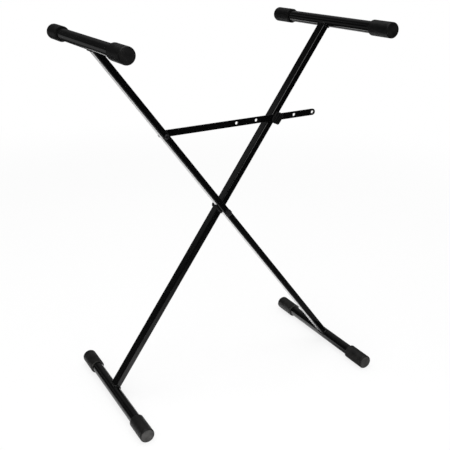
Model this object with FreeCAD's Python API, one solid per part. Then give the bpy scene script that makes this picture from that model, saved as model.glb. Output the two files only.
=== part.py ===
import FreeCAD, Part
import math
import os

# Folding keyboard stand: two crossed steel legs on a pivot bolt, each with a round foot
# tube and a round arm tube, held open by a flat brace strap with a row of lock holes.
# Millimetres. X is to the right, Y to the back, Z up. The origin is on the floor, below
# the pivot. Pieces of a leg are drawn upright about the pivot and then leaned over.

Vector = FreeCAD.Vector

# Legs: rectangular tube, coped onto the round tubes at both ends.
LEG_LENGTH = 985.0          # from foot tube axis to arm tube axis
LEG_WIDTH = 15.0            # across, in the plane of the cross
LEG_DEPTH = 25.0            # front to back
LEG_WALL = 1.5
LEG_CORNER = 3.0            # outer corner radius
LEG_INNER_CORNER = 1.5
LEG_GAP = 8.0               # between the two legs where they cross

# Foot and arm tubes, with their lengths over the caps.
BAR_DIAMETER = 25.4
BAR_WALL = 1.5
FOOT_LENGTH = 376.0
ARM_LENGTH = 433.0

# Rubber end caps.
CAP_DIAMETER = 33.0
CAP_LENGTH = 61.0
CAP_END = 4.0               # thickness of the closed end
CAP_ROUND = 3.0             # edge radius at the closed end
CAP_LIP_ROUND = 0.6         # edge radius at the mouth
CAP_FIT = 0.05              # radial, on the tube

# Pivot: hex bolt, washers, spacer and a crush bush in each leg.
PIVOT_DIAMETER = 8.0
PIVOT_RUNNING_FIT = 0.08    # radial, bolt in its bushes, washers and spacer
PIVOT_HEAD_ACROSS = 13.0
PIVOT_HEAD_HEIGHT = 5.3
PIVOT_NUT_HEIGHT = 6.5
PIVOT_THREAD_SHOWN = 2.0    # bolt end beyond the nut
PIVOT_WASHER_DIAMETER = 16.0
PIVOT_WASHER_THICKNESS = 1.6
PIVOT_SPACER_DIAMETER = 20.0
PIVOT_BUSH_DIAMETER = 11.4
TURNING_PLAY = 0.2          # axial, between faces that turn on each other
NUT_COLLAR_HEIGHT = 1.5     # locking collar on top of a nut
NUT_COLLAR_INSET = 1.2      # collar edge inside the nut's flats
NUT_COLLAR_ROOT = 1.0       # how far the collar runs down into the nut

# Brace strap: its screw and the lock hole are equally far from the pivot.
BRACE_REACH = 242.0         # from the pivot, along either leg
STRAP_WIDTH = 15.0
STRAP_THICKNESS = 3.0
STRAP_FIRST_HOLE = 182.5    # from the screw to the nearest lock hole
STRAP_HOLE_PITCH = 50.8
STRAP_HOLE_COUNT = 5
STRAP_HOLE_IN_USE = 3
STRAP_HOLE_DIAMETER = 7.0
STRAP_END = 8.0             # beyond the last hole and beyond the screw
STRAP_EDGE_ROUND = 0.6

# Strap screw: domed head with a hex socket, thin lock nut.
SCREW_DIAMETER = 6.0
SCREW_RUNNING_FIT = 0.08    # radial, screw in leg, washer and strap
SCREW_HEAD_DIAMETER = 10.5
SCREW_HEAD_HEIGHT = 3.3
SCREW_HEAD_ROUND = 2.2
SCREW_SOCKET_ACROSS = 4.0
SCREW_SOCKET_DEPTH = 2.0
SCREW_NUT_ACROSS = 10.0
SCREW_NUT_HEIGHT = 3.2
SCREW_THREAD_SHOWN = 0.3
STRAP_WASHER_DIAMETER = 14.0
STRAP_WASHER_THICKNESS = 0.8

# Lock: pull-out pin with a waisted grip, and the bush that takes it in the rear leg.
LOCK_PIN_FIT = 0.1          # radial, pin in a lock hole
LOCK_PIN_IN_GRIP = 11.0
LOCK_COLLAR_DIAMETER = 11.0
LOCK_COLLAR_THICKNESS = 1.2
GRIP_LENGTH = 27.0          # along the leg
GRIP_WIDTH = 15.0
GRIP_DEPTH = 15.0
GRIP_CORNER = 4.5
GRIP_EDGE_ROUND = 1.4
GRIP_WAIST_DEPTH = 2.0      # finger hollow on each long side
GRIP_WAIST_RADIUS = 6.0
GRIP_GROOVE_RADIUS = 1.1
GRIP_GROOVE_DEPTH = 0.5
GRIP_GROOVE_SPREAD = 2.6    # each groove from the middle
GRIP_BORE_FIT = 0.05
LOCK_BUSH_FLANGE = 13.0
LOCK_BUSH_DIAMETER = 10.0
LOCK_BUSH_LENGTH = 14.0     # inside the leg, from its front face
LOCK_GAP = 0.3              # flange to strap

# Shape of a hexagon and how edges are picked.
HEXAGON_SIDES = 6
BEVEL_ANGLE = 60.0          # turned corners of a hexagon, from its axis
SAME_PLACE = 0.01           # edges nearer than this lie at the same place
PARALLEL = 0.9              # cosine above which an edge runs along an axis

# Worked out from the sizes above.
BRACE_SPAN = STRAP_FIRST_HOLE + (STRAP_HOLE_IN_USE - 1) * STRAP_HOLE_PITCH
LEAN = math.degrees(math.asin(BRACE_SPAN / 2 / BRACE_REACH))    # each leg from upright
HALF_LEG = LEG_LENGTH / 2
PIVOT_HEIGHT = CAP_DIAMETER / 2 + HALF_LEG * math.cos(math.radians(LEAN))
LEG_FACE = LEG_GAP / 2                      # the faces of the legs that look at each other
LEG_OUTSIDE = LEG_FACE + LEG_DEPTH          # the faces that look away from each other
LEG_MIDDLE = LEG_FACE + LEG_DEPTH / 2
STRAP_FRONT = -LEG_FACE + STRAP_WASHER_THICKNESS + TURNING_PLAY
STRAP_BACK = STRAP_FRONT + STRAP_THICKNESS
BRACE_HEIGHT = PIVOT_HEIGHT + BRACE_REACH * math.cos(math.radians(LEAN))
LOCK_PIN_DIAMETER = STRAP_HOLE_DIAMETER - 2 * LOCK_PIN_FIT


def rod(diameter, y_front, y_back, x=0.0, z=0.0):
    """Solid cylinder that runs front to back."""
    return Part.makeCylinder(diameter / 2, y_back - y_front, Vector(x, y_front, z), Vector(0, 1, 0))


def ring(outside, bore, y_front, y_back):
    """Washer or bush that runs front to back."""
    return rod(outside, y_front, y_back).cut(rod(bore, y_front, y_back))


def hexagon(across_flats, y_front, y_back):
    """Hexagonal prism that runs front to back."""
    radius = across_flats / math.sqrt(3)
    corners = []
    for index in range(HEXAGON_SIDES + 1):
        angle = math.tau * index / HEXAGON_SIDES
        corners.append(Vector(radius * math.cos(angle), y_front, radius * math.sin(angle)))
    return Part.Face(Part.makePolygon(corners)).extrude(Vector(0, y_back - y_front, 0))


def bevelled_hexagon(across_flats, y_bearing, y_top):
    """Hexagonal head or nut whose corners are turned off at its free end."""
    corner_radius = across_flats / math.sqrt(3)
    bevel_height = (corner_radius - across_flats / 2) / math.tan(math.radians(BEVEL_ANGLE))
    outward = math.copysign(1, y_top - y_bearing)
    drum_end = y_top - outward * bevel_height
    drum = rod(2 * corner_radius, min(y_bearing, drum_end), max(y_bearing, drum_end))
    bevel = Part.makeCone(corner_radius, across_flats / 2, bevel_height,
                          Vector(0, drum_end, 0), Vector(0, outward, 0))
    prism = hexagon(across_flats, min(y_bearing, y_top), max(y_bearing, y_top))
    return prism.common(drum.fuse(bevel).removeSplitter())


def rounded_block(size_x, size_y, size_z, radius, across):
    """Block about the origin with the four edges that run along one axis rounded."""
    block = Part.makeBox(size_x, size_y, size_z, Vector(-size_x / 2, -size_y / 2, -size_z / 2))
    edges = [edge for edge in block.Edges if abs(edge.tangentAt(0).dot(across)) > PARALLEL]
    return block.makeFillet(radius, edges)


def rim_at(shape, y):
    """Round edge of a turned piece at one place along its length."""
    return [edge for edge in shape.Edges
            if edge.isClosed() and abs(edge.BoundBox.Center.y - y) < SAME_PLACE][:1]


def lean_over(shape, lean):
    """Lean a piece that was drawn upright about the pivot, and lift it to its height."""
    placed = shape.copy()
    placed.rotate(Vector(0, 0, 0), Vector(0, 1, 0), lean)
    placed.translate(Vector(0, 0, PIVOT_HEIGHT))
    return placed


def moved(shape, x=0.0, y=0.0, z=0.0):
    """Copy of a shape, shifted."""
    placed = shape.copy()
    placed.translate(Vector(x, y, z))
    return placed


def leg_tube(y_middle):
    """Hollow rectangular leg, cut to a saddle at both ends and drilled for the pivot bush."""
    up = Vector(0, 0, 1)
    outside = rounded_block(LEG_WIDTH, LEG_DEPTH, LEG_LENGTH, LEG_CORNER, up)
    inside = rounded_block(LEG_WIDTH - 2 * LEG_WALL, LEG_DEPTH - 2 * LEG_WALL, LEG_LENGTH,
                           LEG_INNER_CORNER, up)
    tube = moved(outside.cut(inside), y=y_middle)
    y_front = y_middle - LEG_DEPTH
    y_back = y_middle + LEG_DEPTH
    for z_end in (-HALF_LEG, HALF_LEG):
        tube = tube.cut(rod(BAR_DIAMETER, y_front, y_back, z=z_end))
    return tube.cut(rod(PIVOT_BUSH_DIAMETER, y_front, y_back))


def front_leg():
    """Front leg, also drilled right through for the strap screw."""
    hole = rod(SCREW_DIAMETER + 2 * SCREW_RUNNING_FIT, -LEG_OUTSIDE, -LEG_FACE, z=BRACE_REACH)
    return leg_tube(-LEG_MIDDLE).cut(hole)


def rear_leg():
    """Rear leg, also drilled in its front wall for the lock bush."""
    hole = rod(LOCK_BUSH_DIAMETER, 0, LEG_MIDDLE, z=BRACE_REACH)
    return leg_tube(LEG_MIDDLE).cut(hole)


def bar_tube(overall, z_axis):
    """Round foot or arm tube, as long as the closed ends of its two caps leave it."""
    half = overall / 2 - CAP_END
    return moved(ring(BAR_DIAMETER, BAR_DIAMETER - 2 * BAR_WALL, -half, half), z=z_axis)


def end_cap(overall, z_axis, side):
    """Rubber cap pushed over a tube end; side is -1 at the front and 1 at the back."""
    tip = overall / 2
    skin = rod(CAP_DIAMETER, tip - CAP_LENGTH, tip)
    skin = skin.makeFillet(CAP_ROUND, rim_at(skin, tip))
    skin = skin.makeFillet(CAP_LIP_ROUND, rim_at(skin, tip - CAP_LENGTH))
    cap = skin.cut(rod(BAR_DIAMETER + 2 * CAP_FIT, tip - CAP_LENGTH, tip - CAP_END))
    if side < 0:
        cap.rotate(Vector(0, 0, 0), Vector(0, 0, 1), 180)
    return moved(cap, z=z_axis)


def pivot_bolt():
    """Hex bolt through both legs, head at the front."""
    y_head = -LEG_OUTSIDE - TURNING_PLAY - PIVOT_WASHER_THICKNESS
    y_end = LEG_OUTSIDE + PIVOT_WASHER_THICKNESS + PIVOT_NUT_HEIGHT + NUT_COLLAR_HEIGHT
    shank = rod(PIVOT_DIAMETER, y_head, y_end + PIVOT_THREAD_SHOWN)
    head = bevelled_hexagon(PIVOT_HEAD_ACROSS, y_head, y_head - PIVOT_HEAD_HEIGHT)
    return head.fuse(shank).removeSplitter()


def lock_nut(across_flats, height, bore, y_bearing):
    """Hex nut with a round locking collar on its free end."""
    body = bevelled_hexagon(across_flats, y_bearing, y_bearing + height)
    y_collar = y_bearing + height
    collar = rod(across_flats - 2 * NUT_COLLAR_INSET, y_collar - NUT_COLLAR_ROOT, y_collar + NUT_COLLAR_HEIGHT)
    nut = body.fuse(collar).removeSplitter()
    return nut.cut(rod(bore, y_bearing, y_collar + NUT_COLLAR_HEIGHT))


def strap_hole_offsets():
    """Distances of the lock holes from the strap screw."""
    return [STRAP_FIRST_HOLE + index * STRAP_HOLE_PITCH for index in range(STRAP_HOLE_COUNT)]


def brace_strap():
    """Flat strap with round ends, a screw hole and a row of lock holes."""
    offsets = strap_hole_offsets()
    length = offsets[-1] + 2 * STRAP_END
    corner = min(STRAP_WIDTH / 2, STRAP_END) - SAME_PLACE
    blank = rounded_block(length, STRAP_THICKNESS, STRAP_WIDTH, corner, Vector(0, 1, 0))
    faces = [face for face in blank.Faces if abs(face.normalAt(0, 0).y) > PARALLEL]
    rims = [edge for face in faces for edge in face.Edges]
    blank = blank.makeFillet(STRAP_EDGE_ROUND, rims)
    middle = (STRAP_FRONT + STRAP_BACK) / 2
    strap = moved(blank, x=length / 2 - STRAP_END, y=middle)
    strap = strap.cut(rod(SCREW_DIAMETER + 2 * SCREW_RUNNING_FIT, STRAP_FRONT, STRAP_BACK))
    for offset in offsets:
        strap = strap.cut(rod(STRAP_HOLE_DIAMETER, STRAP_FRONT, STRAP_BACK, x=offset))
    return moved(strap, x=-BRACE_SPAN / 2, z=BRACE_HEIGHT)


def strap_screw():
    """Domed screw through the front leg, with its hex socket at the front."""
    y_nut = STRAP_BACK + TURNING_PLAY
    y_end = y_nut + SCREW_NUT_HEIGHT + SCREW_THREAD_SHOWN
    head = rod(SCREW_HEAD_DIAMETER, -LEG_OUTSIDE - SCREW_HEAD_HEIGHT, -LEG_OUTSIDE)
    head = head.makeFillet(SCREW_HEAD_ROUND, rim_at(head, -LEG_OUTSIDE - SCREW_HEAD_HEIGHT))
    socket = hexagon(SCREW_SOCKET_ACROSS, -LEG_OUTSIDE - SCREW_HEAD_HEIGHT,
                     -LEG_OUTSIDE - SCREW_HEAD_HEIGHT + SCREW_SOCKET_DEPTH)
    screw = head.fuse(rod(SCREW_DIAMETER, -LEG_OUTSIDE, y_end)).removeSplitter()
    return moved(screw.cut(socket), z=BRACE_REACH)


def strap_nut():
    """Thin nut behind the strap."""
    y_nut = STRAP_BACK + TURNING_PLAY
    nut = bevelled_hexagon(SCREW_NUT_ACROSS, y_nut, y_nut + SCREW_NUT_HEIGHT)
    return moved(nut.cut(rod(SCREW_DIAMETER, y_nut, y_nut + SCREW_NUT_HEIGHT)), z=BRACE_REACH)


def strap_washer():
    """Plastic washer between the front leg and the strap."""
    bore = SCREW_DIAMETER + 2 * SCREW_RUNNING_FIT
    washer = ring(STRAP_WASHER_DIAMETER, bore, -LEG_FACE, -LEG_FACE + STRAP_WASHER_THICKNESS)
    return moved(washer, z=BRACE_REACH)


def lock_pin():
    """Steel pin that crosses the strap, with a collar under the grip."""
    y_collar = STRAP_FRONT - TURNING_PLAY
    y_grip = y_collar - LOCK_COLLAR_THICKNESS
    shank = rod(LOCK_PIN_DIAMETER, y_grip - LOCK_PIN_IN_GRIP, STRAP_BACK)
    collar = rod(LOCK_COLLAR_DIAMETER, y_grip, y_collar)
    return moved(shank.fuse(collar).removeSplitter(), z=BRACE_REACH)


def lock_grip():
    """Moulded pull grip: rounded ends, a finger hollow down each long side, two front grooves."""
    y_base = STRAP_FRONT - TURNING_PLAY - LOCK_COLLAR_THICKNESS
    block = rounded_block(GRIP_WIDTH, GRIP_DEPTH, GRIP_LENGTH, GRIP_CORNER, Vector(0, 1, 0))
    front = [face for face in block.Faces if face.normalAt(0, 0).y < -PARALLEL][0]
    block = block.makeFillet(GRIP_EDGE_ROUND, front.Edges)
    hollow_x = GRIP_WIDTH / 2 + GRIP_WAIST_RADIUS - GRIP_WAIST_DEPTH
    groove_y = -GRIP_DEPTH / 2 - GRIP_GROOVE_RADIUS + GRIP_GROOVE_DEPTH
    start = -GRIP_LENGTH
    for side in (-1, 1):
        hollow = Part.makeCylinder(GRIP_WAIST_RADIUS, 2 * GRIP_LENGTH,
                                   Vector(side * hollow_x, 0, start), Vector(0, 0, 1))
        groove = Part.makeCylinder(GRIP_GROOVE_RADIUS, 2 * GRIP_LENGTH,
                                   Vector(side * GRIP_GROOVE_SPREAD, groove_y, start), Vector(0, 0, 1))
        block = block.cut(hollow).cut(groove)
    block = moved(block, y=y_base - GRIP_DEPTH / 2)
    bore = rod(LOCK_PIN_DIAMETER + 2 * GRIP_BORE_FIT, y_base - LOCK_PIN_IN_GRIP, y_base)
    return moved(block.cut(bore), z=BRACE_REACH)


def lock_bush():
    """Flanged bush in the front wall of the rear leg; the flange carries the strap."""
    flange = rod(LOCK_BUSH_FLANGE, STRAP_BACK + LOCK_GAP, LEG_FACE)
    spigot = rod(LOCK_BUSH_DIAMETER, STRAP_BACK + LOCK_GAP, LEG_FACE + LOCK_BUSH_LENGTH)
    bore = rod(STRAP_HOLE_DIAMETER, STRAP_BACK + LOCK_GAP, LEG_FACE + LOCK_BUSH_LENGTH)
    return moved(flange.fuse(spigot).removeSplitter().cut(bore), z=BRACE_REACH)


def leg_pieces():
    """Legs with their tubes and caps, by node name."""
    pieces = {
        "front_leg": lean_over(front_leg(), -LEAN),
        "rear_leg": lean_over(rear_leg(), LEAN),
    }
    bars = (
        ("left_foot", FOOT_LENGTH, -HALF_LEG, LEAN),
        ("right_foot", FOOT_LENGTH, -HALF_LEG, -LEAN),
        ("left_arm", ARM_LENGTH, HALF_LEG, -LEAN),
        ("right_arm", ARM_LENGTH, HALF_LEG, LEAN),
    )
    for name, overall, z_axis, lean in bars:
        pieces[name + "_tube"] = lean_over(bar_tube(overall, z_axis), lean)
        for place, side in (("front", -1), ("rear", 1)):
            pieces[f"{name}_{place}_cap"] = lean_over(end_cap(overall, z_axis, side), lean)
    return pieces


def pivot_pieces():
    """Pivot bolt and what it carries, by node name."""
    bore = PIVOT_DIAMETER + 2 * PIVOT_RUNNING_FIT
    y_washer = -LEG_OUTSIDE - TURNING_PLAY - PIVOT_WASHER_THICKNESS
    y_nut = LEG_OUTSIDE + PIVOT_WASHER_THICKNESS
    upright = {
        "pivot_bolt": pivot_bolt(),
        "pivot_front_washer": ring(PIVOT_WASHER_DIAMETER, bore, y_washer,
                                   y_washer + PIVOT_WASHER_THICKNESS),
        "pivot_rear_washer": ring(PIVOT_WASHER_DIAMETER, bore, LEG_OUTSIDE, y_nut),
        "pivot_spacer": ring(PIVOT_SPACER_DIAMETER, bore, -LEG_FACE + TURNING_PLAY, LEG_FACE),
        "pivot_nut": lock_nut(PIVOT_HEAD_ACROSS, PIVOT_NUT_HEIGHT, PIVOT_DIAMETER, y_nut),
        "rear_leg_bush": ring(PIVOT_BUSH_DIAMETER, bore, LEG_FACE, LEG_OUTSIDE),
    }
    pieces = {name: lean_over(shape, LEAN) for name, shape in upright.items()}
    front_bush = ring(PIVOT_BUSH_DIAMETER, bore, -LEG_OUTSIDE, -LEG_FACE)
    pieces["front_leg_bush"] = lean_over(front_bush, -LEAN)
    return pieces


def brace_pieces():
    """Strap, its screw and its lock, by node name."""
    return {
        "brace_strap": brace_strap(),
        "strap_screw": lean_over(strap_screw(), -LEAN),
        "strap_nut": lean_over(strap_nut(), -LEAN),
        "strap_washer": lean_over(strap_washer(), -LEAN),
        "lock_pin": lean_over(lock_pin(), LEAN),
        "lock_grip": lean_over(lock_grip(), LEAN),
        "lock_bush": lean_over(lock_bush(), LEAN),
    }


def main():
    """Build every piece and write one STEP file for each."""
    os.makedirs("parts", exist_ok=True)
    pieces = {**leg_pieces(), **pivot_pieces(), **brace_pieces()}
    for name, shape in pieces.items():
        solid = shape.Solids[0]
        print(f"{name}: {len(shape.Solids)} solid, {solid.Volume:.0f} mm3, valid {solid.isValid()}")
        solid.exportStep(f"parts/{name}.step")


main()
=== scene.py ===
"""Folding keyboard stand: finishes, weld beads, threads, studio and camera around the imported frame."""
import logging
import math
from dataclasses import dataclass
from enum import Enum
from functools import reduce
from typing import Any

import bpy
from mathutils import Matrix, Vector


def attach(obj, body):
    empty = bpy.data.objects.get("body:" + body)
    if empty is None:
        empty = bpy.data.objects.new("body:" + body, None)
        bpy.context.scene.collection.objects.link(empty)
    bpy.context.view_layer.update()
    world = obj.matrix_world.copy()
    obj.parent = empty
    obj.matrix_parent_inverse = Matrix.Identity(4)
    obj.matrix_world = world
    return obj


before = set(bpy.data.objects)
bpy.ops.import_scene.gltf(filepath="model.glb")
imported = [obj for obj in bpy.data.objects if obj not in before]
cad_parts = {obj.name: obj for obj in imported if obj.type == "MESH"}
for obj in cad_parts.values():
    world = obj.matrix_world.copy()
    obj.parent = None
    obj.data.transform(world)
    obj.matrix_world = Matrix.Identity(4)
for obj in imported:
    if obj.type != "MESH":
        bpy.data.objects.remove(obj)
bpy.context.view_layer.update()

log = logging.getLogger("keyboard_stand")

Colour = tuple[float, float, float]
Point = tuple[float, float, float]

LEG_LENGTH = 0.985                    # foot tube axis to arm tube axis
LEG_WIDTH = 0.015
LEG_DEPTH = 0.025
LEG_MIDDLE = 0.0165                   # middle of a leg, in front of or behind the pivot plane
BAR_RADIUS = 0.0127
CAP_RADIUS = 0.0165                   # the stand rests on its foot caps
BRACE_REACH = 0.242                   # pivot to strap screw, and pivot to lock
STRAP_FIRST_HOLE = 0.1825             # strap screw to the nearest lock hole
STRAP_HOLE_PITCH = 0.0508
STRAP_HOLE_RADIUS = 0.0035
BRACE_SPAN = STRAP_FIRST_HOLE + 2 * STRAP_HOLE_PITCH      # strap screw to the lock hole in use
LEAN = math.asin(BRACE_SPAN / 2 / BRACE_REACH)
PIVOT_HEIGHT = CAP_RADIUS + LEG_LENGTH / 2 * math.cos(LEAN)
BRACE_HEIGHT = PIVOT_HEIGHT + BRACE_REACH * math.cos(LEAN)
WHITE = (1.0, 1.0, 1.0, 1.0)


class Side(Enum):
    """Which way a leg leans, as the sign of its lean about the front-to-back axis."""

    FRONT = -1
    REAR = 1


class Sheen(Enum):
    """Roughness of the finishes on this stand."""

    GLOSS = 0.1
    SATIN = 0.24
    PLATED = 0.26
    MOULDED = 0.42
    RUBBER = 0.46


class Graph:
    """Adds nodes to a node tree and wires them as it adds them."""

    def __init__(self, tree: bpy.types.NodeTree) -> None:
        """Keep the tree.

        Args:
            tree: Node tree that the nodes go into.
        """
        self.tree = tree

    def add(self, kind: str, inputs: dict[Any, Any] | None = None, **settings: Any) -> bpy.types.Node:
        """Add one node.

        Args:
            kind: Blender's name for the type of node.
            inputs: Value or output socket for each input, by name or place.
            **settings: Properties of the node itself.

        Returns:
            The new node.
        """
        node = self.tree.nodes.new(kind)
        for name, value in settings.items():
            setattr(node, name, value)
        for key, value in (inputs or {}).items():
            if isinstance(value, bpy.types.NodeSocket):
                self.tree.links.new(value, node.inputs[key])
            else:
                node.inputs[key].default_value = value
        return node

    def math(self, operation: str, *terms: Any) -> bpy.types.NodeSocket:
        """Add a Math node.

        Args:
            operation: What it works out.
            *terms: Numbers or sockets.

        Returns:
            Its result.
        """
        return self.add("ShaderNodeMath", dict(enumerate(terms)), operation=operation).outputs[0]

    def chain(self, operation: str, *terms: Any) -> bpy.types.NodeSocket:
        """Join two or more terms by one operation, from the first to the last.

        Args:
            operation: What each Math node works out.
            *terms: Numbers or sockets.

        Returns:
            The last result.
        """
        return reduce(lambda done, term: self.math(operation, done, term), terms)

    def group(self, tree: bpy.types.NodeTree, inputs: dict[str, Any]) -> bpy.types.Node:
        """Add a node group with its values."""
        return self.add("ShaderNodeGroup", inputs, node_tree=tree)

    def dot(self, vector: Any, direction: Point) -> bpy.types.NodeSocket:
        """Add a dot product with a fixed direction.

        Args:
            vector: Socket with the vector.
            direction: The direction.

        Returns:
            The product.
        """
        return self.add("ShaderNodeVectorMath", {0: vector, 1: direction},
                        operation="DOT_PRODUCT").outputs["Value"]

    def ramp(self, value: Any, low: Any, high: Any, to_low: Any = 0.0,
             to_high: Any = 1.0) -> bpy.types.NodeSocket:
        """Map a value smoothly from one range to another.

        Args:
            value: Socket to map.
            low: Value that gives to_low.
            high: Value that gives to_high.
            to_low: Result at and below low.
            to_high: Result at and above high.

        Returns:
            The mapped value.
        """
        node = self.add("ShaderNodeMapRange", {0: value, 1: low, 2: high, 3: to_low, 4: to_high},
                        interpolation_type="SMOOTHSTEP")
        return node.outputs[0]

    def noise(self, vector: Any, scale: float | bpy.types.NodeSocket, detail: float = 2.0,
              roughness: float = 0.5) -> bpy.types.NodeSocket:
        """Add a noise texture.

        Args:
            vector: Coordinates.
            scale: Cells in a metre.
            detail: Octaves.
            roughness: Weight of the finer octaves.

        Returns:
            Its value, about 0.5 in the middle.
        """
        node = self.add("ShaderNodeTexNoise", {"Vector": vector, "Scale": scale, "Detail": detail,
                                               "Roughness": roughness})
        return node.outputs[0]

    def mix_colour(self, factor: Any, low: Any, high: Any) -> bpy.types.NodeSocket:
        """Mix two colours.

        Args:
            factor: Share of the second colour.
            low: First colour.
            high: Second colour.

        Returns:
            The mixed colour.
        """
        node = self.add("ShaderNodeMix", {0: factor, 6: low, 7: high}, data_type="RGBA")
        return node.outputs[2]


def rgba(colour: Colour) -> tuple[float, float, float, float]:
    """Add an alpha of one to a colour."""
    return (*colour, 1.0)


def new_group(name: str, kind: str, inputs: dict[str, tuple[str, Any]],
              outputs: dict[str, str]) -> tuple[Graph, dict[str, Any], bpy.types.Node]:
    """Start a node group with named sockets.

    Args:
        name: Name of the group.
        kind: Blender's name for the type of tree.
        inputs: Socket type and default value for each input.
        outputs: Socket type for each output.

    Returns:
        A graph on the group, its input sockets by name, and its output node.
    """
    tree = bpy.data.node_groups.new(name, kind)
    for label, (socket, default) in inputs.items():
        made = tree.interface.new_socket(label, in_out="INPUT", socket_type=socket)
        if default is not None:
            made.default_value = default
    for label, socket in outputs.items():
        tree.interface.new_socket(label, in_out="OUTPUT", socket_type=socket)
    graph = Graph(tree)
    source = graph.add("NodeGroupInput")
    return graph, {label: source.outputs[label] for label in inputs}, graph.add("NodeGroupOutput")


class Effects:
    """Shader node groups that several finishes share."""

    UPWARD = (0.15, 0.95)             # height of a face's normal at which dust starts to lie, and lies fully
    DUST_PATCHES = (0.35, 0.75)
    DUST_SPECKS = (0.52, 0.72)
    DUST_FILM = 0.5                   # even share between the specks
    RUB_TURN = (0.3, 0.5, 0.2)
    RUB_STRETCH = (9.0, 1.0, 5.0)
    RUB_WIDTH = 0.012
    RUB_PLACE_SCALE = 28.0
    RUB_PLACES = (0.55, 0.7)
    WEAR_RAGGED = 3.0                 # unevenness of the worn edge, in widths
    WEAR_RAGGED_SCALE = 900.0
    WEAR_REACH = 1.6                  # farthest wear from a hole's middle, in radii

    def __init__(self) -> None:
        """Build every group once."""
        self.peel = self._peel()
        self.dust = self._dust()
        self.scuffs = self._scuffs()
        self.hole_wear = self._hole_wear()
        self.turning = self._turning()
        self.grain = self._grain()

    def _peel(self) -> bpy.types.NodeTree:
        """Orange peel of a baked coat, with slow waves under it.

        Returns:
            The group.
        """
        graph, given, out = new_group("coat_peel", "ShaderNodeTree", {
            "Vector": ("NodeSocketVector", None), "Peel Scale": ("NodeSocketFloat", 520.0),
            "Wave Scale": ("NodeSocketFloat", 60.0), "Wave Share": ("NodeSocketFloat", 0.35),
        }, {"Height": "NodeSocketFloat", "Cloud": "NodeSocketFloat"})
        peel = graph.noise(given["Vector"], given["Peel Scale"], 1.0, 0.4)
        wave = graph.noise(given["Vector"], given["Wave Scale"], 2.0)
        waves = graph.math("MULTIPLY", wave, given["Wave Share"])
        graph.tree.links.new(graph.math("ADD", peel, waves), out.inputs["Height"])
        graph.tree.links.new(wave, out.inputs["Cloud"])
        return graph.tree

    def _dust(self) -> bpy.types.NodeTree:
        """Fine dust on the faces that look up.

        Returns:
            The group.
        """
        graph, given, out = new_group("settled_dust", "ShaderNodeTree", {
            "Amount": ("NodeSocketFloat", 0.1), "Patch Scale": ("NodeSocketFloat", 45.0),
            "Speck Scale": ("NodeSocketFloat", 2200.0),
        }, {"Mask": "NodeSocketFloat"})
        place = graph.add("ShaderNodeTexCoord")
        facing = graph.add("ShaderNodeSeparateXYZ", {0: place.outputs["Normal"]})
        upward = graph.ramp(facing.outputs["Z"], *self.UPWARD)
        spot = place.outputs["Object"]
        patch = graph.ramp(graph.noise(spot, given["Patch Scale"], 3.0), *self.DUST_PATCHES)
        speck = graph.ramp(graph.noise(spot, given["Speck Scale"], 2.0), *self.DUST_SPECKS)
        mask = graph.chain("MULTIPLY", upward, patch, given["Amount"],
                           graph.math("ADD", self.DUST_FILM, speck))
        graph.tree.links.new(mask, out.inputs["Mask"])
        return graph.tree

    def _scuffs(self) -> bpy.types.NodeTree:
        """Short, thin rub marks that run mostly one way.

        Returns:
            The group.
        """
        graph, given, out = new_group("rub_marks", "ShaderNodeTree", {
            "Vector": ("NodeSocketVector", None), "Scale": ("NodeSocketFloat", 120.0),
            "Amount": ("NodeSocketFloat", 0.5),
        }, {"Mask": "NodeSocketFloat"})
        long_way = graph.add("ShaderNodeMapping", {"Vector": given["Vector"], "Rotation": self.RUB_TURN,
                                                   "Scale": self.RUB_STRETCH})
        line = graph.noise(long_way.outputs[0], given["Scale"], 2.0)
        off_line = graph.math("ABSOLUTE", graph.math("SUBTRACT", line, 0.5))
        thin = graph.ramp(off_line, 0.0, self.RUB_WIDTH, 1.0, 0.0)
        where = graph.ramp(graph.noise(given["Vector"], self.RUB_PLACE_SCALE, 2.0), *self.RUB_PLACES)
        mask = graph.chain("MULTIPLY", thin, where, given["Amount"])
        graph.tree.links.new(mask, out.inputs["Mask"])
        return graph.tree

    def _hole_wear(self) -> bpy.types.NodeTree:
        """Coat rubbed through round each hole of an even row along X.

        Returns:
            The group.
        """
        graph, given, out = new_group("hole_wear", "ShaderNodeTree", {
            "Vector": ("NodeSocketVector", None), "First Hole": ("NodeSocketVector", None),
            "Pitch": ("NodeSocketFloat", 0.05), "Radius": ("NodeSocketFloat", 0.0035),
            "Width": ("NodeSocketFloat", 0.0004),
        }, {"Mask": "NodeSocketFloat"})
        offset = graph.add("ShaderNodeVectorMath", {0: given["Vector"], 1: given["First Hole"]},
                           operation="SUBTRACT")
        part = graph.add("ShaderNodeSeparateXYZ", {0: offset.outputs[0]})
        half = graph.math("MULTIPLY", given["Pitch"], 0.5)
        before = graph.math("MULTIPLY", half, -1.0)
        along = graph.math("WRAP", part.outputs["X"], half, before)
        distance = graph.math("SQRT", graph.math("ADD", graph.math("POWER", along, 2.0),
                                                 graph.math("POWER", part.outputs["Z"], 2.0)))
        uneven = graph.math("SUBTRACT", graph.noise(given["Vector"], self.WEAR_RAGGED_SCALE, 3.0), 0.5)
        ragged = graph.chain("MULTIPLY", uneven, given["Width"], self.WEAR_RAGGED)
        beyond = graph.math("ADD", graph.math("SUBTRACT", distance, given["Radius"]), ragged)
        worn = graph.math("SUBTRACT", 1.0, graph.math("DIVIDE", beyond, given["Width"]))
        in_row = graph.math("GREATER_THAN", part.outputs["X"], before)
        near = graph.math("LESS_THAN", distance, graph.math("MULTIPLY", given["Radius"], self.WEAR_REACH))
        mask = graph.add("ShaderNodeClamp", {0: graph.chain("MULTIPLY", worn, in_row, near)})
        graph.tree.links.new(mask.outputs[0], out.inputs["Mask"])
        return graph.tree

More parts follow.
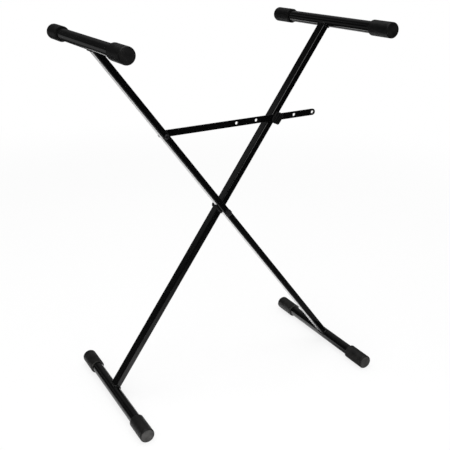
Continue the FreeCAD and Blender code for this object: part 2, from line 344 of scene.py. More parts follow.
    def _turning(self) -> bpy.types.NodeTree:
        """Fine rings left by a lathe tool, round an axis that runs front to back.

        Returns:
            The group.
        """
        graph, given, out = new_group("turning_marks", "ShaderNodeTree", {
            "Vector": ("NodeSocketVector", None), "Centre": ("NodeSocketVector", None),
            "Pitch": ("NodeSocketFloat", 0.00025),
        }, {"Height": "NodeSocketFloat"})
        offset = graph.add("ShaderNodeVectorMath", {0: given["Vector"], 1: given["Centre"]},
                           operation="SUBTRACT")
        flat = graph.add("ShaderNodeVectorMath", {0: offset.outputs[0], 1: (1.0, 0.0, 1.0)},
                         operation="MULTIPLY")
        radius = graph.add("ShaderNodeVectorMath", {0: flat.outputs[0]}, operation="LENGTH").outputs["Value"]
        along = graph.add("ShaderNodeSeparateXYZ", {0: given["Vector"]}).outputs["Y"]
        turns = graph.math("DIVIDE", graph.math("ADD", radius, along), given["Pitch"])
        wave = graph.math("SINE", graph.math("MULTIPLY", turns, math.tau))
        graph.tree.links.new(graph.math("MULTIPLY_ADD", wave, 0.5, 0.5), out.inputs["Height"])
        return graph.tree

    def _grain(self) -> bpy.types.NodeTree:
        """Matt spark-eroded grain of a mould, as small shallow pits.

        Returns:
            The group.
        """
        graph, given, out = new_group("mould_grain", "ShaderNodeTree", {
            "Vector": ("NodeSocketVector", None), "Grain Scale": ("NodeSocketFloat", 1500.0),
            "Mottle Scale": ("NodeSocketFloat", 90.0),
        }, {"Height": "NodeSocketFloat", "Mottle": "NodeSocketFloat"})
        pit = graph.add("ShaderNodeTexVoronoi", {"Vector": given["Vector"], "Scale": given["Grain Scale"]},
                        feature="SMOOTH_F1").outputs["Distance"]
        fine = graph.noise(given["Vector"], given["Grain Scale"], 3.0, 0.6)
        graph.tree.links.new(graph.math("ADD", pit, fine), out.inputs["Height"])
        graph.tree.links.new(graph.noise(given["Vector"], given["Mottle Scale"], 3.0), out.inputs["Mottle"])
        return graph.tree


@dataclass(frozen=True)
class Finish:
    """What every finish has: its name, its colours and how it shines."""

    name: str
    colour: Colour
    second: Colour
    sheen: Sheen
    metallic: float = 0.0
    specular: float = 0.5
    relief_share: float = 0.6
    cloud: tuple[float, float] = (0.3, 0.7)      # part of the slow waves over which the roughness drifts
    drift: tuple[float, float] = (-0.05, 0.05)   # roughness below and above the sheen

    def start(self) -> tuple[Graph, bpy.types.NodeSocket, bpy.types.Node, bpy.types.Material]:
        """Make the material with its Principled shader.

        Returns:
            The material's graph, its object coordinates, its shader and the material.
        """
        material = bpy.data.materials.new(self.name)
        material.use_nodes = True
        graph = Graph(material.node_tree)
        shader = material.node_tree.nodes["Principled BSDF"]
        shader.inputs["Base Color"].default_value = rgba(self.colour)
        shader.inputs["Roughness"].default_value = self.sheen.value
        shader.inputs["Metallic"].default_value = self.metallic
        shader.inputs["Specular IOR Level"].default_value = self.specular
        place = graph.add("ShaderNodeTexCoord").outputs["Object"]
        return graph, place, shader, material

    def relief(self, graph: Graph, shader: bpy.types.Node, height: Any, depth: float) -> None:
        """Turn a height into the shader's normal.

        Args:
            graph: The material's graph.
            shader: Its Principled shader.
            height: Height, from 0 to about 1.
            depth: Real height of the relief in metres.
        """
        bump = graph.add("ShaderNodeBump", {"Height": height, "Distance": depth,
                                            "Strength": self.relief_share})
        graph.tree.links.new(bump.outputs[0], shader.inputs["Normal"])

    def drifting(self, graph: Graph, wave: Any) -> bpy.types.NodeSocket:
        """Let the roughness drift about the sheen.

        Args:
            graph: The material's graph.
            wave: Slow waves over the piece, about 0.5 in the middle.

        Returns:
            The roughness.
        """
        low, high = (self.sheen.value + change for change in self.drift)
        return graph.ramp(wave, *self.cloud, low, high)


@dataclass(frozen=True)
class BakedCoat(Finish):
    """Black baked coat on steel, with its peel, dust, rub marks and holes worn bare."""

    relief_share: float = 0.5
    drift: tuple[float, float] = (-0.03, 0.03)
    peel_depth: float = 0.000035
    dust: float = 0.012
    dust_colour: Colour = (0.30, 0.29, 0.27)
    dust_dulls: float = 1.5                              # roughness that a full cover of dust adds
    rub_amount: float = 0.35
    rub_dulls: float = 0.35
    holes: tuple[Point, float, float] | None = None      # first hole, pitch, radius
    bare: Colour = (0.32, 0.31, 0.30)

    def material(self, effects: Effects) -> bpy.types.Material:
        """Build the material.

        Args:
            effects: The shared shader groups.

        Returns:
            The finished material.
        """
        graph, place, shader, material = self.start()
        peel = graph.group(effects.peel, {"Vector": place})
        dust = graph.group(effects.dust, {"Amount": self.dust}).outputs["Mask"]
        rubs = graph.group(effects.scuffs, {"Vector": place, "Amount": self.rub_amount}).outputs["Mask"]
        shade = graph.mix_colour(peel.outputs["Cloud"], rgba(self.colour), rgba(self.second))
        shade = graph.mix_colour(dust, shade, rgba(self.dust_colour))
        rough = graph.chain("ADD", self.drifting(graph, peel.outputs["Cloud"]),
                            graph.math("MULTIPLY", dust, self.dust_dulls),
                            graph.math("MULTIPLY", rubs, self.rub_dulls))
        if self.holes:
            first, pitch, radius = self.holes
            wear = graph.group(effects.hole_wear, {"Vector": place, "First Hole": first, "Pitch": pitch,
                                                   "Radius": radius}).outputs["Mask"]
            shade = graph.mix_colour(wear, shade, rgba(self.bare))
            graph.tree.links.new(wear, shader.inputs["Metallic"])
        graph.tree.links.new(shade, shader.inputs["Base Color"])
        graph.tree.links.new(rough, shader.inputs["Roughness"])
        self.relief(graph, shader, peel.outputs["Height"], self.peel_depth)
        return material


@dataclass(frozen=True)
class Moulding(Finish):
    """Moulded rubber or plastic with the grain of its mould, scuffs where it is handled, and painted light
    low over the floor.
    """

    cloud: tuple[float, float] = (0.25, 0.75)
    grain_scale: float = 1500.0
    grain_depth: float = 0.00008
    mottle: tuple[float, float] = (0.3, 0.7)
    dust: float = 0.02
    # dust colour, also laid on parts low over the floor as painted light
    dust_colour: Colour = (0.28, 0.27, 0.25)
    # scuff colour for rub marks and floor wear, also laid on end faces low over the floor as painted light
    scuff_and_end_light: Colour = (0.09, 0.088, 0.085)
    scuff_amount: float = 0.5
    floor_wear: float = 0.0          # height above the floor that is rubbed, 0 for none
    floor_wear_scale: float = 160.0
    floor_wear_most: float = 0.6
    floor_wear_fade: tuple[float, float] = (0.4, 1.6)      # in heights of floor_wear
    low_dust_and_light: float = 0.0          # share of dust colour on what lies low over the floor: settled dust and painted light, lighter low down where more light falls
    low_reach: tuple[float, float] = (0.025, 0.06)
    patch_scale: float = 75.0
    patch_share: tuple[float, float] = (0.6, 1.3)
    endways: tuple[float, float] = (0.9, 0.985)  # how squarely an end face looks to the front or the back
    painted_end_light: tuple[float, float] = (0.0, 0.0)    # painted light on the end faces, as scuff colour, low over the floor and high

    def material(self, effects: Effects) -> bpy.types.Material:
        """Build the material.

        Args:
            effects: The shared shader groups.

        Returns:
            The finished material.
        """
        graph, place, shader, material = self.start()
        grain = graph.group(effects.grain, {"Vector": place, "Grain Scale": self.grain_scale})
        dust = graph.group(effects.dust, {"Amount": self.dust}).outputs["Mask"]
        rubs = graph.group(effects.scuffs, {"Vector": place, "Amount": self.scuff_amount}).outputs["Mask"]
        shade = graph.mix_colour(graph.ramp(grain.outputs["Mottle"], *self.mottle), rgba(self.colour),
                                 rgba(self.second))
        shade = graph.mix_colour(rubs, shade, rgba(self.scuff_and_end_light))
        if self.floor_wear:
            shade = self.floor_marks_and_light(graph, place, shade)
        shade = graph.mix_colour(dust, shade, rgba(self.dust_colour))
        graph.tree.links.new(shade, shader.inputs["Base Color"])
        graph.tree.links.new(self.drifting(graph, grain.outputs["Mottle"]), shader.inputs["Roughness"])
        self.relief(graph, shader, grain.outputs["Height"], self.grain_depth)
        return material

    def floor_marks_and_light(self, graph: Graph, place: Any, shade: Any) -> bpy.types.NodeSocket:
        """Rub what stands on the floor, and paint light on what lies low over it: dust colour on the low
        parts and scuff colour on the end faces, for the light that falls there.

        Args:
            graph: The material's graph.
            place: Its object coordinates.
            shade: Colour without the marks.

        Returns:
            Colour with the marks and the painted light.
        """
        height = graph.add("ShaderNodeSeparateXYZ", {0: place}).outputs["Z"]
        ragged = graph.math("MULTIPLY_ADD", graph.noise(place, self.floor_wear_scale, 3.0), self.floor_wear,
                            height)
        starts, ends = (share * self.floor_wear for share in self.floor_wear_fade)
        low = graph.ramp(ragged, starts, ends, self.floor_wear_most, 0.0)
        shade = graph.mix_colour(low, shade, rgba(self.scuff_and_end_light))
        patch = graph.ramp(graph.noise(place, self.patch_scale, 4.0), *self.mottle, *self.patch_share)
        # settled dust and painted light: parts low over the floor are made lighter, where more light falls on
        # them
        settled_and_lit = graph.ramp(height, *self.low_reach, self.low_dust_and_light, 0.0)
        shade = graph.mix_colour(graph.math("MULTIPLY", settled_and_lit, patch), shade, rgba(self.dust_colour))
        facing = graph.add("ShaderNodeTexCoord").outputs["Normal"]
        squarely = graph.math("ABSOLUTE", graph.add("ShaderNodeSeparateXYZ", {0: facing}).outputs["Y"])
        # painted light: end faces low over the floor are lightened with the scuff colour, where more light
        # falls on them
        lit_ends = graph.chain("MULTIPLY", graph.ramp(squarely, *self.endways),
                             graph.ramp(height, *self.low_reach, *self.painted_end_light), patch)
        return graph.mix_colour(lit_ends, shade, rgba(self.scuff_and_end_light))


@dataclass(frozen=True)
class PlatedSteel(Finish):
    """Zinc or black plate on turned steel, with the tool's rings and a cloudy tint."""

    drift: tuple[float, float] = (-0.05, 0.06)
    centre: Point = (0.0, 0.0, PIVOT_HEIGHT)
    ring_depth: float = 0.000006
    tint: tuple[float, float] = (0.35, 0.65)
    rub_scale: float = 300.0
    rub_dulls: float = 0.3

    def material(self, effects: Effects) -> bpy.types.Material:
        """Build the material.

        Args:
            effects: The shared shader groups.

        Returns:
            The finished material.
        """
        graph, place, shader, material = self.start()
        peel = graph.group(effects.peel, {"Vector": place})
        rings = graph.group(effects.turning, {"Vector": place, "Centre": self.centre})
        rubs = graph.group(effects.scuffs, {"Vector": place, "Scale": self.rub_scale})
        shade = graph.mix_colour(graph.ramp(peel.outputs["Cloud"], *self.tint), rgba(self.colour),
                                 rgba(self.second))
        graph.tree.links.new(shade, shader.inputs["Base Color"])
        rough = graph.math("ADD", self.drifting(graph, peel.outputs["Cloud"]),
                           graph.math("MULTIPLY", rubs.outputs["Mask"], self.rub_dulls))
        graph.tree.links.new(rough, shader.inputs["Roughness"])
        self.relief(graph, shader, rings.outputs["Height"], self.ring_depth)
        return material


class Paintshop:
    """Every finish of the stand, by its name."""

    def __init__(self) -> None:
        """Build the shared effects and one material for each finish."""
        effects = Effects()
        first_hole = (-BRACE_SPAN / 2 + STRAP_FIRST_HOLE, 0.0, BRACE_HEIGHT)
        finishes = (
            BakedCoat("black_paint", (0.0008, 0.0008, 0.0009), (0.0016, 0.0016, 0.0017), Sheen.GLOSS),
            BakedCoat("strap_paint", (0.0006, 0.0006, 0.0007), (0.0012, 0.0012, 0.0013), Sheen.SATIN,
                      holes=(first_hole, STRAP_HOLE_PITCH, STRAP_HOLE_RADIUS)),
            # the caps' low parts get dust colour and their end faces scuff colour, as painted light near the
            # floor
            Moulding("cap_rubber", (0.0017, 0.0017, 0.0018), (0.0026, 0.0026, 0.0027), Sheen.RUBBER,
                     specular=0.24, floor_wear=0.002, low_dust_and_light=0.022, painted_end_light=(0.35, 0.06)),
            Moulding("grip_plastic", (0.0020, 0.0020, 0.0021), (0.0028, 0.0028, 0.0029), Sheen.MOULDED,
                     specular=0.2, grain_scale=2400.0, grain_depth=0.00004, scuff_amount=0.3),
            Moulding("washer_plastic", (0.015, 0.015, 0.016), (0.02, 0.02, 0.021), Sheen.MOULDED,
                     grain_scale=2600.0, grain_depth=0.00003, dust=0.01),
            Moulding("nut_insert", (0.55, 0.56, 0.56), (0.48, 0.49, 0.50), Sheen.MOULDED,
                     grain_scale=2600.0, grain_depth=0.00003, dust=0.01, scuff_and_end_light=(0.2, 0.2, 0.2)),
            PlatedSteel("black_hardware", (0.03, 0.03, 0.032), (0.05, 0.05, 0.053), Sheen.PLATED, 0.7),
            PlatedSteel("plated_steel", (0.56, 0.56, 0.55), (0.62, 0.62, 0.60), Sheen.PLATED, 1.0,
                        centre=(BRACE_SPAN / 2, 0.0, BRACE_HEIGHT)),
        )
        self.materials = {finish.name: finish.material(effects) for finish in finishes}

    def dress(self, node: str, finish: str) -> None:
        """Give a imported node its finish.

        Args:
            node: Name of the node.
            finish: Name of the finish.
        """
        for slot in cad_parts[node].material_slots:
            slot.material = self.materials[finish]


def plain_mesh(source: bpy.types.Object, name: str) -> bpy.types.Object:
    """Turn an object with a Geometry Nodes modifier into a plain mesh object.

    Args:
        source: Object whose result is kept; it is removed.
        name: Name of the new object.

    Returns:
        The plain object, at the origin.
    """
    shown = source.evaluated_get(bpy.context.evaluated_depsgraph_get())
    mesh = bpy.data.meshes.new_from_object(shown)
    mesh.name = name
    piece = bpy.data.objects.new(name, mesh)
    bpy.context.scene.collection.objects.link(piece)
    bpy.data.objects.remove(source)
    return piece


def grown(name: str, tree: bpy.types.NodeTree, values: dict[str, Any], points: list[Vector],
          edges: list[tuple[int, int]]) -> bpy.types.Object:
    """Run a Geometry Nodes tree on a set of points and keep its result.

    Args:
        name: Name of the piece.
        tree: The tree, with a Geometry input and output.
        values: Value for each named input.
        points: Vertices that the tree starts from.
        edges: Edges between them.

    Returns:
        The plain mesh object.
    """
    mesh = bpy.data.meshes.new(name + "_path")
    mesh.from_pydata(points, edges, [])
    carrier = bpy.data.objects.new(name + "_path", mesh)
    bpy.context.scene.collection.objects.link(carrier)
    modifier = carrier.modifiers.new("grow", "NODES")
    modifier.node_group = tree
    for item in tree.interface.items_tree:
        if item.name in values:
            modifier[item.identifier] = values[item.name]
    return plain_mesh(carrier, name)


def bead_tree() -> bpy.types.NodeTree:
    """Tree that lays a rippled weld bead along a path of edges.

    Returns:
        The tree.
    """
    graph, given, out = new_group("weld_bead", "GeometryNodeTree", {
        "Path": ("NodeSocketGeometry", None), "Bead Radius": ("NodeSocketFloat", 0.0022),
        "Ripple Pitch": ("NodeSocketFloat", 0.0019), "Ripple": ("NodeSocketFloat", 0.13),
        "Wander": ("NodeSocketFloat", 0.25), "Wander Scale": ("NodeSocketFloat", 130.0),
        "Sides": ("NodeSocketInt", 14), "Step": ("NodeSocketFloat", 0.0004),
        "Seed": ("NodeSocketFloat", 3.0), "Finish": ("NodeSocketMaterial", None),
    }, {"Bead": "NodeSocketGeometry"})
    line = graph.add("GeometryNodeMeshToCurve", {0: given["Path"]})
    fine = graph.add("GeometryNodeResampleCurve", {"Curve": line.outputs[0], "Length": given["Step"]},
                     mode="LENGTH")
    run = graph.add("GeometryNodeSplineParameter").outputs["Length"]
    phase = graph.math("MULTIPLY", graph.math("DIVIDE", run, given["Ripple Pitch"]), math.tau)
    ripple = graph.math("MULTIPLY", graph.math("ABSOLUTE", graph.math("SINE", graph.math(
        "MULTIPLY", phase, 0.5))), given["Ripple"])
    place = graph.add("GeometryNodeInputPosition").outputs[0]
    drift = graph.add("ShaderNodeTexNoise", {"Vector": place, "W": given["Seed"],
                                               "Scale": given["Wander Scale"]},
                      noise_dimensions="4D").outputs[0]
    swell = graph.math("MULTIPLY", graph.math("SUBTRACT", drift, 0.5), given["Wander"])
    scale = graph.chain("ADD", 1.0, ripple, swell)
    outline = graph.add("GeometryNodeCurvePrimitiveCircle", {"Resolution": given["Sides"],
                                                             "Radius": given["Bead Radius"]})
    body = graph.add("GeometryNodeCurveToMesh", {"Curve": fine.outputs[0],
                                                 "Profile Curve": outline.outputs[0], "Scale": scale})
    smooth = graph.add("GeometryNodeSetShadeSmooth", {0: body.outputs[0]})
    real = graph.add("GeometryNodeRealizeInstances", {0: smooth.outputs[0]})
    painted = graph.add("GeometryNodeSetMaterial", {0: real.outputs[0], "Material": given["Finish"]})
    graph.tree.links.new(painted.outputs[0], out.inputs[0])
    return graph.tree


def thread_tree() -> bpy.types.NodeTree:
    """Tree that winds a screw thread round an axis that runs front to back.

    Returns:
        The tree.
    """
    graph, given, out = new_group("screw_thread", "GeometryNodeTree", {
        "Path": ("NodeSocketGeometry", None), "Root Radius": ("NodeSocketFloat", 0.0039),
        "Pitch": ("NodeSocketFloat", 0.00125), "Turns": ("NodeSocketFloat", 1.3),
        "Ridge": ("NodeSocketFloat", 0.0004), "Ridge Sides": ("NodeSocketInt", 6),
        "Steps": ("NodeSocketInt", 40), "Run Out": ("NodeSocketFloat", 0.12),
        "Run Out Ridge": ("NodeSocketFloat", 0.15), "Start": ("NodeSocketVector", None),
        "Finish": ("NodeSocketMaterial", None),
    }, {"Thread": "NodeSocketGeometry"})
    height = graph.math("MULTIPLY", given["Pitch"], given["Turns"])
    helix = graph.add("GeometryNodeCurveSpiral", {"Resolution": given["Steps"], "Rotations": given["Turns"],
                                                  "Start Radius": given["Root Radius"],
                                                  "End Radius": given["Root Radius"], "Height": height})
    along = graph.add("GeometryNodeSplineParameter").outputs["Factor"]
    from_end = graph.math("MINIMUM", along, graph.math("SUBTRACT", 1.0, along))
    taper = graph.ramp(from_end, 0.0, given["Run Out"], given["Run Out Ridge"], 1.0)
    ridge = graph.add("GeometryNodeCurvePrimitiveCircle", {"Resolution": given["Ridge Sides"],
                                                           "Radius": given["Ridge"]})
    body = graph.add("GeometryNodeCurveToMesh", {"Curve": helix.outputs[0], "Profile Curve": ridge.outputs[0],
                                                 "Scale": taper, "Fill Caps": True})
    placed = graph.add("GeometryNodeTransform", {"Geometry": body.outputs[0], "Translation": given["Start"],
                                                 "Rotation": (-math.pi / 2, 0.0, 0.0)})
    real = graph.add("GeometryNodeRealizeInstances", {0: placed.outputs[0]})
    painted = graph.add("GeometryNodeSetMaterial", {0: real.outputs[0], "Material": given["Finish"]})
    graph.tree.links.new(painted.outputs[0], out.inputs[0])
    return graph.tree


@dataclass
class LegFrame:
    """One leg with the arm tube and the foot tube welded to its ends."""

    side: Side
    leg: str
    body: str
    tubes: tuple[str, str]
    bead_radius: float = 0.0021
    bead_stand_off: float = 0.0004       # bead axis outside the leg's walls
    corner: float = 0.003
    corner_steps: int = 5
    face_steps: int = 10
    seed: float = 3.0

    def outline(self) -> list[tuple[float, float]]:
        """Rounded outline of the leg, a little outside its walls.

        Returns:
            Points across and along the depth, in order round the leg.
        """
        half = (LEG_WIDTH / 2 + self.bead_stand_off, LEG_DEPTH / 2 + self.bead_stand_off)
        points: list[tuple[float, float]] = []
        quarters = ((1, 1), (-1, 1), (-1, -1), (1, -1))
        for number, (across, deep) in enumerate(quarters):
            for step in range(self.corner_steps + 1):
                turn = math.pi / 2 * (number + step / self.corner_steps)
                points.append((across * (half[0] - self.corner) + self.corner * math.cos(turn),
                               deep * (half[1] - self.corner) + self.corner * math.sin(turn)))
        fine: list[tuple[float, float]] = []
        for place, point in enumerate(points):
            after = points[(place + 1) % len(points)]
            count = self.face_steps if math.dist(point, after) > self.corner else 1
            for step in range(count):
                share = step / count
                fine.append((point[0] + share * (after[0] - point[0]),
                             point[1] + share * (after[1] - point[1])))
        return fine

    def weld(self, tree: bpy.types.NodeTree, paint: bpy.types.Material) -> bpy.types.Object:
        """Lay the beads where the leg's coped ends meet its two tubes.

        Args:
            tree: Geometry Nodes tree of a bead.
            paint: Finish over the welds.

        Returns:
            One mesh with both beads.
        """
        outline = self.outline()
        lean = Matrix.Rotation(self.side.value * LEAN, 4, "Y")
        points: list[Vector] = []
        edges: list[tuple[int, int]] = []
        for end in (-1, 1):
            first = len(points)
            for across, deep in outline:
                saddle = math.sqrt((BAR_RADIUS + self.bead_stand_off) ** 2 - across ** 2)
                spot = Vector((across, self.side.value * LEG_MIDDLE + deep, end * (LEG_LENGTH / 2 - saddle)))
                points.append(lean @ spot + Vector((0.0, 0.0, PIVOT_HEIGHT)))
            edges += [(first + step, first + (step + 1) % len(outline)) for step in range(len(outline))]
        values = {"Bead Radius": self.bead_radius, "Seed": self.seed + self.side.value, "Finish": paint}
        return grown(self.leg + "_welds", tree, values, points, edges)

    def dress(self, shop: Paintshop) -> None:
        """Paint the leg and its tubes."""
        for node in (self.leg, *(tube + "_tube" for tube in self.tubes)):
            shop.dress(node, "black_paint")

    def build(self, shop: Paintshop, tree: bpy.types.NodeTree) -> None:
        """Build and dress the whole frame.

        Args:
            shop: The finishes.
            tree: Geometry Nodes tree of a bead.
        """
        self.dress(shop)
        beads = self.weld(tree, shop.materials["black_paint"])
        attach(beads, self.body)
        log.info("%s: welds with %d faces", self.leg, len(beads.data.polygons))


@dataclass
class EndCaps:
    """The eight rubber caps."""

    tubes: tuple[str, ...] = ("left_foot", "right_foot", "left_arm", "right_arm")

    def build(self, shop: Paintshop) -> None:
        """Give every cap its rubber.

        Args:
            shop: The finishes.
        """
        for tube in self.tubes:
            for place in ("front", "rear"):
                shop.dress(f"{tube}_{place}_cap", "cap_rubber")
        log.info("caps: %d dressed", 2 * len(self.tubes))


@dataclass
class Pivot:
    """Bolt, washers, spacer, bushes and nut on the pivot's axis."""

    bolt_radius: float = 0.004
    thread_pitch: float = 0.00125
    thread_turns: float = 1.35
    nut_top: float = 0.0386              # behind the pivot plane
    insert_radius: float = 0.00455
    insert_section: float = 0.00055
    hardware: tuple[str, ...] = ("pivot_bolt", "pivot_nut", "pivot_front_washer", "pivot_rear_washer")

    def build(self, shop: Paintshop, threads: bpy.types.NodeTree) -> None:
        """Dress the hardware, cut the bolt's thread and set the nut's insert.

        Args:
            shop: The finishes.
            threads: Geometry Nodes tree of a screw thread.
        """
        for node in self.hardware:
            shop.dress(node, "black_hardware")
        shop.dress("pivot_spacer", "washer_plastic")
        for node in ("rear_leg_bush", "front_leg_bush"):
            shop.dress(node, "plated_steel")
        black = shop.materials["black_hardware"]
        start = Vector((0.0, self.nut_top, PIVOT_HEIGHT))
        thread = grown("pivot_thread", threads, {
            "Root Radius": self.bolt_radius, "Pitch": self.thread_pitch, "Turns": self.thread_turns,
            "Start": tuple(start), "Finish": black}, [start], [])
        insert = grown("pivot_nut_insert", threads, {
            "Root Radius": self.insert_radius, "Pitch": 0.0, "Turns": 1.0, "Ridge": self.insert_section,
            "Start": tuple(start), "Finish": shop.materials["nut_insert"]}, [start], [])
        for piece, slot in ((thread, "black_hardware"), (insert, "washer_plastic")):
            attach(piece, "rear_frame")
        log.info("pivot: thread with %d faces", len(thread.data.polygons))


@dataclass
class Brace:
    """Strap with its screw, and the pin and grip that lock it."""

    finishes: tuple[tuple[str, tuple[str, ...]], ...] = (
        ("strap_paint", ("brace_strap",)),
        ("black_hardware", ("strap_screw", "strap_nut")),
        ("plated_steel", ("lock_pin", "lock_bush")),
        ("washer_plastic", ("strap_washer",)),
        ("grip_plastic", ("lock_grip",)),
    )

    def build(self, shop: Paintshop) -> None:
        """Dress the strap, its screw and its lock.

        Args:
            shop: The finishes.
        """
        for finish, nodes in self.finishes:
            for node in nodes:
                shop.dress(node, finish)
        log.info("brace: dressed")


@dataclass
class Studio:
    """Pale floor, soft lamps, white surroundings and the camera.

    The camera sees white all round. What the paint mirrors is given place by place: a reach is where
    something starts and ends to fade, and a light is how bright it is mirrored.
    """

    floor_size: float = 80.0
    floor_colour: Colour = (0.95, 0.95, 0.95)
    white_middle: Point = (0.0, 0.6, 0.0)        # middle of the floor that is mirrored bright
    white_reach: tuple[float, float] = (1.5, 1.8)
    strip_way: Point = (1.0, 0.2316, 0.0)        # across the white strip that the front leg's side mirrors
    strip_middle: float = 0.296
    strip_half: tuple[float, float] = (0.09, 0.16)
    strip_front: tuple[float, float] = (-0.12, 0.03)
    strip_light: float = 1.5
    foot_middle: float = -0.26                   # white floor beside the left foot
    foot_half: tuple[float, float] = (0.06, 0.2)
    foot_end: tuple[float, float] = (0.18, 0.32)
    foot_light: float = 0.9
    patch_side: Point = (-0.8, 0.6, 0.0)         # the dimmer floor in front fades away from this side
    patch_fade: tuple[float, float] = (-0.55, -0.05)
    patch_light: tuple[float, float] = (0.05, 0.45)
    patch_back: tuple[float, float] = (0.1, 0.5)
    patch_back_share: tuple[float, float] = (1.0, 0.1)
    right_start: tuple[float, float] = (0.48, 0.7)    # white floor on the right, beside the right foot
    right_light: float = 0.7
    left_behind: Point = (-0.9, 0.43, 0.0)       # far floor behind the stand on the left
    far_reach: tuple[float, float] = (1.4, 3.0)
    far_light: tuple[float, float] = (0.02, 0.28)
    clear_reach: tuple[float, float] = (0.9, 2.2)     # the camera sees pure white past the stand's shadow
    clear_share: tuple[float, float] = (0.8, 1.0)
    glow: Point = (-0.42, 0.834, 0.358)          # soft light low behind the stand on the left
    glow_reach: tuple[float, float] = (0.988, 0.9995)
    glow_light: tuple[float, float] = (0.03, 0.16)
    high_right: Point = (0.6, 0.35, 0.72)        # faint light high on the right
    high_reach: tuple[float, float] = (0.5, 0.9)
    high_light: float = 0.14
    soft_light: float = 0.6                      # even light on matt surfaces from all round
    camera_place: Point = (-0.75155, -1.42505, 1.00364)
    yaw: float = 0.48926
    pitch: float = 0.37211
    roll: float = -0.02121
    focal: float = 745.475                       # pixels of a 450-pixel frame
    frame_pixels: int = 450
    sensor: float = 36.0
    lamps: tuple[tuple[str, Point, float, float], ...] = (    # name, place, size, power
        ("overhead_lamp", (0.0, 0.3, 3.2), 2.4, 42.0),
        ("key_lamp", (-1.09, -1.61, 2.1), 1.15, 13.0),
        ("foot_lamp", (-0.3, -0.8, 0.08), 0.35, 5.5),
    )
    unmirrored: tuple[str, ...] = ("foot_lamp",)

    def _surroundings(self) -> None:
        """White for the camera; for reflections a glow low behind the stand and dark elsewhere."""
        world = bpy.data.worlds.new("studio")
        bpy.context.scene.world = world
        world.use_nodes = True
        graph = Graph(world.node_tree)
        world.node_tree.nodes.clear()
        way = graph.add("ShaderNodeTexCoord").outputs["Generated"]
        glow = graph.ramp(graph.dot(way, self.glow), *self.glow_reach, *self.glow_light)
        high = graph.ramp(graph.dot(way, self.high_right), *self.high_reach, 0.0, self.high_light)
        path = graph.add("ShaderNodeLightPath")
        soft, mirror, seen = (graph.add("ShaderNodeBackground", {"Color": WHITE, "Strength": strength})
                              for strength in (self.soft_light, graph.math("ADD", glow, high), 1.0))
        first = graph.add("ShaderNodeMixShader", {0: path.outputs["Is Glossy Ray"], 1: soft.outputs[0],
                                                  2: mirror.outputs[0]})
        both = graph.add("ShaderNodeMixShader", {0: path.outputs["Is Camera Ray"], 1: first.outputs[0],
                                                 2: seen.outputs[0]})
        graph.add("ShaderNodeOutputWorld", {"Surface": both.outputs[0]})

    def _mirrored_floor(self, graph: Graph, place: Any, away: Any) -> bpy.types.NodeSocket:
        """How bright each place of the floor is mirrored in the stand.

        Args:
            graph: The floor material's graph.
            place: Its object coordinates.
            away: Distance from the middle of the bright floor.

        Returns:
            The brightness.
        """
        part = graph.add("ShaderNodeSeparateXYZ", {0: place})
        near = graph.ramp(away, *self.white_reach, 1.0, 0.0)
        front = graph.ramp(part.outputs["Y"], *self.strip_front)
        off_strip = graph.math("ABSOLUTE", graph.math("SUBTRACT", graph.dot(place, self.strip_way),
                                                      self.strip_middle))
        strip = graph.math("MULTIPLY", graph.ramp(off_strip, *self.strip_half, self.strip_light, 0.0), front)
        beside = graph.math("ABSOLUTE", graph.math("SUBTRACT", part.outputs["X"], self.foot_middle))
        endways = graph.math("ABSOLUTE", part.outputs["Y"])
        foot = graph.math("MULTIPLY", graph.ramp(beside, *self.foot_half, self.foot_light, 0.0),
                          graph.ramp(endways, *self.foot_end, 1.0, 0.0))
        patch = graph.math("MULTIPLY",
                           graph.ramp(graph.dot(place, self.patch_side), *self.patch_fade, *self.patch_light),
                           graph.ramp(part.outputs["Y"], *self.patch_back, *self.patch_back_share))
        right = graph.math("MULTIPLY",
                           graph.ramp(part.outputs["X"], *self.right_start, 0.0, self.right_light), front)
        close = graph.math("MULTIPLY", near, graph.chain("MAXIMUM", strip, foot, patch, right))
        far = graph.ramp(graph.dot(place, self.left_behind), *self.far_reach, *self.far_light)
        return graph.math("MAXIMUM", close, far)

    def _floor(self) -> None:
        """White floor that keeps the stand's shadow, and its own brightness in reflections."""
        half = self.floor_size / 2
        mesh = bpy.data.meshes.new("floor")
        mesh.from_pydata([(-half, -half, 0.0), (half, -half, 0.0), (half, half, 0.0), (-half, half, 0.0)],
                         [], [(0, 1, 2, 3)])
        floor = bpy.data.objects.new("floor", mesh)
        bpy.context.scene.collection.objects.link(floor)
        material = bpy.data.materials.new("floor_white")
        material.use_nodes = True
        graph = Graph(material.node_tree)
        material.node_tree.nodes.clear()
        place = graph.add("ShaderNodeTexCoord").outputs["Object"]
        away = graph.add("ShaderNodeVectorMath", {0: place, 1: self.white_middle},
                         operation="DISTANCE").outputs["Value"]
        clear = graph.ramp(away, *self.clear_reach, *self.clear_share)
        path = graph.add("ShaderNodeLightPath")
        matt, mirror = (graph.add("ShaderNodeBsdfDiffuse", {"Color": colour})
                        for colour in (rgba(self.floor_colour), self._mirrored_floor(graph, place, away)))
        white = graph.add("ShaderNodeEmission", {"Color": WHITE, "Strength": 1.0})
        seen = graph.math("MULTIPLY", path.outputs["Is Camera Ray"], clear)
        first = graph.add("ShaderNodeMixShader", {0: seen, 1: matt.outputs[0], 2: white.outputs[0]})
        both = graph.add("ShaderNodeMixShader", {0: path.outputs["Is Glossy Ray"], 1: first.outputs[0],
                                                 2: mirror.outputs[0]})
        graph.add("ShaderNodeOutputMaterial", {"Surface": both.outputs[0]})
        mesh.materials.append(material)

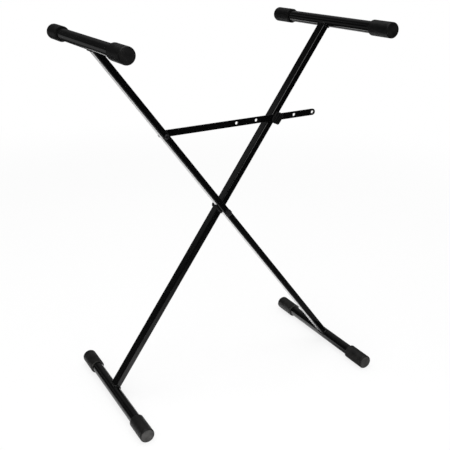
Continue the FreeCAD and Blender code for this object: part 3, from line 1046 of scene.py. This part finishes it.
    def _lamps(self) -> None:
        """Soft square lamps, aimed at the middle of the stand."""
        aim = Vector((0.0, 0.0, PIVOT_HEIGHT))
        for name, place, size, power in self.lamps:
            light = bpy.data.lights.new(name, "AREA")
            light.size = size
            light.energy = power
            lamp = bpy.data.objects.new(name, light)
            lamp.location = place
            lamp.visible_camera = False
            lamp.visible_glossy = name not in self.unmirrored
            lamp.rotation_euler = (aim - Vector(place)).to_track_quat("-Z", "Y").to_euler()
            bpy.context.scene.collection.objects.link(lamp)

    def _camera(self) -> None:
        """Camera at the photograph's place, turn and focal length."""
        ahead = Vector((math.sin(self.yaw) * math.cos(self.pitch), math.cos(self.yaw) * math.cos(self.pitch),
                        -math.sin(self.pitch)))
        right = Vector((math.cos(self.yaw), -math.sin(self.yaw), 0.0))
        up = right.cross(ahead)
        turned_right = math.cos(self.roll) * right + math.sin(self.roll) * up
        turned_up = math.cos(self.roll) * up - math.sin(self.roll) * right
        turn = Matrix((turned_right, turned_up, -ahead)).transposed().to_4x4()
        lens = bpy.data.cameras.new("camera")
        lens.sensor_width = self.sensor
        lens.lens = self.focal / self.frame_pixels * self.sensor
        camera = bpy.data.objects.new("camera", lens)
        camera.matrix_world = Matrix.Translation(self.camera_place) @ turn
        bpy.context.scene.collection.objects.link(camera)
        bpy.context.scene.camera = camera

    def build(self) -> None:
        """Set up everything round the stand."""
        bpy.context.scene.view_settings.view_transform = "Standard"
        self._camera()
        self._surroundings()
        self._floor()
        self._lamps()
        log.info("studio: camera, floor and %d lamps", len(self.lamps))


def main() -> None:
    """Build the studio and each sub-assembly in order."""
    Studio().build()
    shop = Paintshop()
    beads = bead_tree()
    LegFrame(Side.FRONT, "front_leg", "front_frame", ("left_arm", "right_foot")).build(shop, beads)
    LegFrame(Side.REAR, "rear_leg", "rear_frame", ("right_arm", "left_foot")).build(shop, beads)
    EndCaps().build(shop)
    Pivot().build(shop, thread_tree())
    Brace().build(shop)


if __name__ == "__main__":
    logging.basicConfig(level=logging.INFO, format="%(name)s: %(message)s")
    main()
